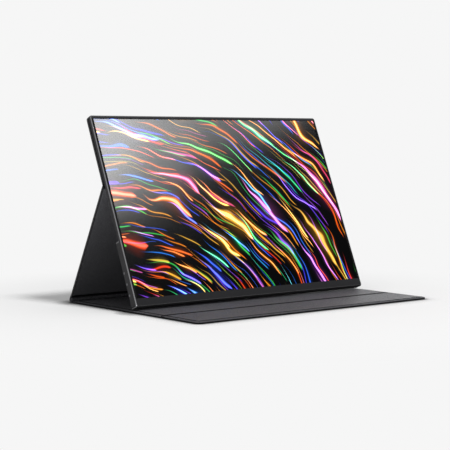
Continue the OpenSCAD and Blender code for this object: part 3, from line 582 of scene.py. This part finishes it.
def panelSkin(name, panel, place):
    b = panelBuild
    rings = [outlineRing(panel, *[b["outerRound"] + 1.4] * 3, 0.0)]
    for k in range(6):
        a = math.radians(90 * k / 5)
        rings.append(outlineRing(panel, *[b["outerRound"] * (1 - math.sin(a))] * 3,
                                 b["outerRound"] * (1 - math.cos(a))))
    rings.append(outlineRing(panel, 0, 0, 0, b["paint"]))
    for k in range(6):
        a = math.radians(90 * k / 5)
        inset = 1 - math.cos(a)
        rings.append(outlineRing(panel, *edgeRims(panel, b["rimRound"] * inset, b["foldRound"] * inset),
                                 b["rimTop"] - b["rimRound"] * (1 - math.sin(a))))
    top = b["rimTop"]
    for back, height in ((b["lap"] + 0.3, top), (b["lap"], top - 0.12), (0.12, top - 0.14),
                         (0.0, top - 0.2), (0.0, b["floor"])):
        inset = edgeRims(panel, b["rim"] - back, b["foldRim"] - min(back, 0.3))
        rings.append(outlineRing(panel, *inset, height))

    # marks: 1 is painted seam shade in the folds and beside the rim's lap; 2 is the edge's lower band, near
    # black as edge paint and painted shade under the rounded rim; 3 is the turned rim's upper band in the
    # lining's paler colour, a painted highlight
    def marks(p, n):
        if abs(n.z) < 0.75 and 0.1 < p.z < b["paint"]:
            return 2
        if p.z < b["paint"]:
            return 0
        ends = ((p.y - panel["start"], panel["nearRim"]), (panel["end"] - p.y, panel["farRim"]))
        folded = any(away < b["foldRim"] and not rimmed for away, rimmed in ends)
        inside = min([panel["half"] - abs(p.x)] + [away for away, rimmed in ends if rimmed])
        if folded or (b["rim"] - b["lap"] - 0.32 < inside < b["rim"] + 0.2 and not panel["turned"]):
            return 1
        return 3 if panel["turned"] else 0

    points, faces = joinRings(rings)
    return makePiece(name, points, faces, "coverLeather", place, marks=marks)


def panelLining(name, panel, place, finish):
    b = panelBuild
    edge = edgeRims(panel, b["rim"] - b["lap"], b["foldRim"] - 0.3)
    rings = [outlineRing(panel, *[e + 0.06 for e in edge], b["liningBase"]),
             outlineRing(panel, *edge, b["liningBase"] + 0.06)]
    if panel["turned"]:  # a lower border with a pressed line, outside the raised field
        rings.append(outlineRing(panel, *[e + 0.08 for e in edge], b["border"]))
        line = b["borderWide"] - b["pressed"]
        for wide, atFold, sunk in ((line, 0.1, 0.0), (line + 0.1, 0.12, b["sunk"]),
                                   (b["borderWide"], 0.14, b["sunk"])):
            field = [e + w for e, w in zip(edge, edgeRims(panel, wide, atFold))]
            rings.append(outlineRing(panel, *field, b["border"] - sunk))
        edge = field
    for k in range(5):
        a = math.radians(90 * k / 4)
        inset = b["liningRound"] * (1 - math.cos(a))
        rings.append(outlineRing(panel, *[e + inset for e in edge],
                                 b["thick"] - b["liningRound"] * (1 - math.sin(a))))
    rings.append(outlineRing(panel, *[e + 1.2 for e in edge], b["thick"]))

    # painted seam shade (1) on the lining's pressed line and its edge walls
    def marks(p, n):
        if panel["turned"] and b["border"] - 0.035 < p.z < b["border"] - 0.01:
            return 1
        return abs(n.z) < 0.8 and (p.z > b["border"] or not panel["turned"])

    points, faces = joinRings(rings)
    return makePiece(name, points, faces, finish, place, marks=marks)


def ribbon(name, path, thick, half, finish, ripple):  # a strip along path, given as (y, z), across x
    normals = []
    for i in range(len(path)):
        a, b = path[max(i - 1, 0)], path[min(i + 1, len(path) - 1)]
        length = math.hypot(b[0] - a[0], b[1] - a[1])
        normals.append((-(b[1] - a[1]) / length, (b[0] - a[0]) / length))
    stations = [-half, -half + 0.12]
    stations += [-half + 0.4 + (2 * half - 0.8) * k / 60 for k in range(61)]
    stations += [half - 0.12, half]
    points, faces, count = [], [], len(path)
    for x in stations:
        edge = 0.45 if abs(x) == half else (0.82 if abs(x) > half - 0.2 else 1.0)
        for side in (1, -1):
            for i, ((y, z), (ny, nz)) in enumerate(zip(path, normals)):
                tip = 0.5 if i in (0, count - 1) else 1.0
                lift = side * thick / 2 * edge * tip
                lift += noise.noise(Vector((x * 0.12, y * 0.5, z * 0.5))) * ripple * tip
                points.append((x, y + ny * lift, z + nz * lift))
    row = 2 * count
    for s in range(len(stations)):
        base = s * row
        for i in range(count - 1):
            top, under = base + i, base + count + i
            if s in (0, len(stations) - 1):
                faces.append((top, top + 1, under + 1, under))
            if s < len(stations) - 1:
                faces.append((top, top + 1, top + 1 + row, top + row))
                faces.append((under, under + 1, under + 1 + row, under + row))
        if s < len(stations) - 1:
            for i in (0, count - 1):
                faces.append((base + i, base + count + i, base + count + i + row, base + i + row))
    return makePiece(name, points, faces, finish)


def arcPath(centre, radii, start, end, steps):  # angles from straight down, towards the rear
    path = []
    for k in range(steps + 1):
        t = k / steps
        a, r = math.radians(start + (end - start) * t), radii[0] + (radii[1] - radii[0]) * t
        path.append((centre[0] + r * math.sin(a), centre[1] - r * math.cos(a)))
    return path


half = layout["halfCover"]
stiffPanel = {"half": half, "nearRadius": 0.3, "farRadius": 0.3, "nearRim": False, "farRim": False,
              "splits": (20, 40), "drift": 0.12, "turned": False}
panels = {
    "base": {**stiffPanel, "start": layout["crease"] + layout["gap"],
             "end": layout["stiffEnd"] + layout["overlap"], "turned": True},
    "flap": {**stiffPanel, "start": layout["front"], "end": layout["crease"] - layout["gap"],
             "nearRadius": 6.0, "nearRim": True, "splits": (10, 40), "turned": True},
    "prop": {**stiffPanel, "start": layout["propStart"], "end": layout["propEnd"]},
    "upper": {**stiffPanel, "start": layout["gap"], "end": layout["upperLength"], "farRadius": 4.0,
              "farRim": True, "splits": (12, 40)},
}
onTable = Matrix.Identity(4)
coverParts = (("base", "base", onTable, "coverLining"), ("flap", "front_flap", onTable, "coverLining"),
              ("prop", "prop", onProp, "propLining"), ("upper", "upper_panel", onUpper, "coverLining"))
for panelName, body, place, liner in coverParts:
    skin = panelSkin(panelName + "Leather", panels[panelName], place)
    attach(skin, body)
    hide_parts(panelName + "_skin")
    lining = panelLining(panelName + "Lining", panels[panelName], place, liner)
    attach(lining, body)
    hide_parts(panelName + "_lining")
print("cover panels built")

fold = {
    "centre": (layout["foldY"], layout["foldZ"]), "rollRadius": 2.36, "leather": 0.4, "seam": 20.0,
    "bandStart": 107.2, "bandBend": (112.5, 117.6), "softBend": (111.5, 117.6), "softThick": 0.86,
    "softInset": 0.5, "turnRadius": 2.6, "stripInset": 0.3, "creaseBend": 0.45, "topBend": 0.4,
}
tangent = 180 - layout["propAngle"]
lowPath = [(fold["bandStart"] + k * 0.8, 0.25) for k in range(12)]
lowPath += arcPath(fold["centre"], (2.85, fold["turnRadius"]), 2, fold["seam"], 6)
rearBand = ribbon("rearBand", lowPath, fold["leather"], half, "coverLeather", 0.03)
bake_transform(rearBand)

softPath = [(107.9, 1.62), (108.4, 1.36), (109.0, 1.08), (109.5, 1.0), (110.0, 1.06), (110.8, 1.08),
            (111.4, 1.0), (112.0, 1.05), (112.9, 1.06), (113.6, 1.0), (114.2, 0.96), (114.9, 1.0)]
rearSoft = ribbon("rearSoftLining", softPath, fold["softThick"], half - fold["softInset"],
                  "coverLining", 0.05)
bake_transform(rearSoft)

turnPath = arcPath(fold["centre"], (fold["turnRadius"], fold["turnRadius"]), fold["seam"], tangent, 16)
propAngle = math.radians(layout["propAngle"])
direction = Vector((0, -math.cos(propAngle), math.sin(propAngle)))
endY, endZ = turnPath[-1]
turnPath += [(endY + direction.y * s, endZ + direction.z * s) for s in (0.8, 1.6, 2.4, 3.2, 4.0, 4.8)]
rearTurn = ribbon("rearTurn", turnPath, fold["leather"], half, "coverLeather", 0.03)
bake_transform(rearTurn)

rings = []
rollEnds = [(-half + 0.6, 0.72), (-half + 0.75, 0.9), (-half + 1.1, 1.0)]
rollStations = rollEnds + [(-half + 1.1 + (2 * half - 2.2) * k / 80, 1.0) for k in range(1, 80)]
rollStations += [(-x, s) for x, s in reversed(rollEnds)]
for x, share in rollStations:
    ring = []
    for k in range(28):
        a = math.radians(360 * k / 28)
        lump = noise.noise(Vector((x * 0.08, math.cos(a), math.sin(a) * 1.5))) * 0.06
        r = fold["rollRadius"] * share + lump
        ring.append((x, fold["centre"][0] + r * math.sin(a), fold["centre"][1] - r * math.cos(a)))
    rings.append(ring)
roll = makePiece("spineRoll", *joinRings(rings), "coverLining")
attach(roll, "spine")
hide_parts("spine_skin", "spine_foam")

creasePath = [(layout["crease"] + 1.3 - 0.2 * k, 0.28) for k in range(14)]
crease = ribbon("creaseStrip", creasePath, fold["leather"], half - fold["stripInset"], "coverLeather", 0.02)
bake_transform(crease)

topLine = Vector((0, *layout["topFold"]))
propIn = Vector((0, -math.sin(propAngle), -math.cos(propAngle)))
upperIn = -screenBack
topPath = []
for s in (-1.3, -1.0, -0.7, -0.4, -0.15, 0.0, 0.15, 0.4, 0.7, 1.0, 1.3):
    run = direction * s if s <= 0 else screenUp * s
    inward = propIn if s < 0 else (upperIn if s > 0 else (propIn + upperIn).normalized())
    spot = topLine + run + inward * 0.34
    topPath.append((spot.y, spot.z))
topStrip = ribbon("topFoldStrip", topPath, fold["leather"], half - fold["stripInset"], "coverLeather", 0.02)
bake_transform(topStrip)
print("folds built")


button = {
    "radius": 1.45, "out": 0.35, "flange": 1.85, "flangeThick": 0.4, "depth": 6.9,
    "heights": {"minus_button": 15.8, "plus_button": 28.8, "power_button": 41.8},
    "bodies": {"minus_button": "minus_key", "plus_button": "plus_key", "power_button": "power_key"},
}
for node, height in button["heights"].items():
    outer = -layout["halfScreen"] - button["out"]
    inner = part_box(node)[1].x / mm
    back = inner - button["flangeThick"]
    profile = [(outer + 0.07, 0.01), (outer + 0.06, 0.55), (outer + 0.02, 0.95), (outer, 1.12),
               (outer + 0.02, 1.25), (outer + 0.1, 1.38), (outer + 0.22, button["radius"]),
               (back, button["radius"]), (back, button["flange"] - 0.1), (back + 0.1, button["flange"]),
               (inner, button["flange"])]
    angles = [math.radians(a) for a in range(0, 360, 12)]
    rings = [[(x, button["depth"] + r * math.cos(a), height + r * math.sin(a)) for a in angles]
             for x, r in profile]
    cap = makePiece(node.split("_")[0] + "Cap", *joinRings(rings), "buttonMetal", onMonitor, 30)
    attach(cap, button["bodies"][node])
    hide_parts(node)
print("buttons built")


stageLook = {
    "pale": tone(246, 246, 246), "floor": (0.85, 0.85, 0.85, 1.0), "ambient": (0.5, 0.5, 0.5, 1.0),
    "near": 0.24, "far": 0.46, "size": 9.0, "drop": 0.0001,
    "gap": (0.0, 0.0, 0.0, 1.0), "reach": 0.022, "rays": 32, "paintedShadowGain": 1.3, "falloff": 0.4,
}


def makeFloor(look):
    floor = Finish("floor")
    distance = floor.add("VectorMath", {"operation": "LENGTH"}, {0: floor.place}, "Value")
    away = floor.ease(distance, look["near"], look["far"])
    seen = floor.add("LightPath", {}, {}, "Is Camera Ray")
    clear = floor.add("AmbientOcclusion", {"samples": look["rays"]}, {"Distance": look["reach"]}, "AO")
    plain = floor.add("BsdfDiffuse", {}, {"Color": look["floor"]})
    gap = floor.add("BsdfDiffuse", {}, {"Color": look["gap"]})  # painted contact shadow: black, mixed in under and beside what lies on the floor
    # painted shadow: the floor turns black with nearby occlusion, scaled by a gain and a power
    dull = floor.add("MixShader", {}, {0: (1 - clear) ** look["falloff"] * look["paintedShadowGain"], 1: plain, 2: gap})
    glow = floor.add("Emission", {}, {"Color": look["pale"]})
    blend = floor.add("MixShader", {}, {0: away * seen, 1: dull, 2: glow})
    floor.add("OutputMaterial", {}, {"Surface": blend})
    corners = [(x * look["size"], y * look["size"], -look["drop"])
               for x, y in ((-1, -1), (1, -1), (1, 1), (-1, 1))]
    mesh = bpy.data.meshes.new("floor")
    mesh.from_pydata(corners, [], [(0, 1, 2, 3)])
    plane = bpy.data.objects.new("floor", mesh)
    plane.data.materials.append(floor.material)
    bpy.context.scene.collection.objects.link(plane)


makeFloor(stageLook)

world = Finish("studio", "worlds")
seen = world.add("LightPath", {}, {}, "Is Camera Ray")
for ray in ("Is Glossy Ray", "Is Transmission Ray"):
    seen = seen.sum("MAXIMUM", seen, world.add("LightPath", {}, {}, ray))
backdrop = world.add("Background", {}, {"Color": world.mix(seen, stageLook["ambient"], stageLook["pale"])})
world.add("OutputWorld", {}, {"Surface": backdrop})
bpy.context.scene.world = world.material

lamps = {
    "key": {"at": (0.3, -2.75, 5.0), "to": (0, 0, 0.05), "size": 1.25, "power": 208.0, "plain": True},
    "fill": {"at": (-2.5, -1.5, 0.1), "to": (-0.1, 0, 0.1), "size": 0.3, "power": 16.0, "plain": True},
    "rim": {"at": (2.75, 1.55, 0.4), "to": (0.1, 0, 0), "size": 1.5, "power": 26.0, "plain": False,
            "only": ["baseLining", "flapLining"]},
    "tent": {"at": (-0.3, -0.02, 0.19), "to": (-0.16, 0.07, 0.1), "size": 0.06, "power": 0.85, "plain": True,
             "only": ["propLining"]},
}
sheens = {  # four glossy lamps that make one broad sheen on the screen: place, size, power
    "sheenMiddle": ((0.801, -0.841, 1.114), 0.32, 33.9), "sheenCorner": ((0.668, -0.867, 1.14), 0.32, 74.5),
    "sheenTop": ((1.006, -0.575, 1.435), 0.9, 99.8), "sheenEdge": ((1.084, -0.636, 1.301), 0.6, 37.9),
}
for lampName, (at, size, power) in sheens.items():
    lamps[lampName] = {"at": at, "to": (-0.1, 0.05, 0.14), "size": size, "power": power,
                       "plain": False, "only": ["front_polarizer"]}
for lampName, look in lamps.items():
    data = bpy.data.lights.new(lampName, "AREA")
    data.shape, data.size, data.energy = "DISK", look["size"], look["power"]
    lamp = bpy.data.objects.new(lampName, data)
    lamp.location = look["at"]
    lamp.rotation_euler = (Vector(look["to"]) - Vector(look["at"])).to_track_quat("-Z", "Y").to_euler()
    lamp.visible_diffuse = look["plain"]
    bpy.context.scene.collection.objects.link(lamp)
    if "only" in look:  # a soft lamp for one surface alone
        lit = bpy.data.collections.new(lampName + "Lit")
        for member in look["only"]:
            lit.objects.link(bpy.data.objects[member])
        lamp.light_linking.receiver_collection = lit
        lamp.visible_camera = False

view = {
    "at": (-1.06733, -1.22701, 0.198421), "yaw": 0.697087, "pitch": 0.066558, "roll": 0.003001,
    "focal": 1376.47, "frame": 450.0,
}
slope = math.cos(view["pitch"])
ahead = Vector((math.sin(view["yaw"]) * slope, math.cos(view["yaw"]) * slope, -math.sin(view["pitch"])))
aside = Vector((math.cos(view["yaw"]), -math.sin(view["yaw"]), 0))
above = aside.cross(ahead)
right = aside * math.cos(view["roll"]) + above * math.sin(view["roll"])
upright = above * math.cos(view["roll"]) - aside * math.sin(view["roll"])
cameraData = bpy.data.cameras.new("camera")
cameraData.sensor_width = 36.0
cameraData.lens = view["focal"] / view["frame"] * 36.0
cameraData.clip_start, cameraData.clip_end = 0.02, 60.0
camera = bpy.data.objects.new("camera", cameraData)
turn = Matrix((right, upright, -ahead)).transposed().to_4x4()
camera.matrix_world = Matrix.Translation(view["at"]) @ turn
bpy.context.scene.collection.objects.link(camera)
bpy.context.scene.camera = camera
bpy.context.scene.view_settings.view_transform = "Standard"
print("stage ready")
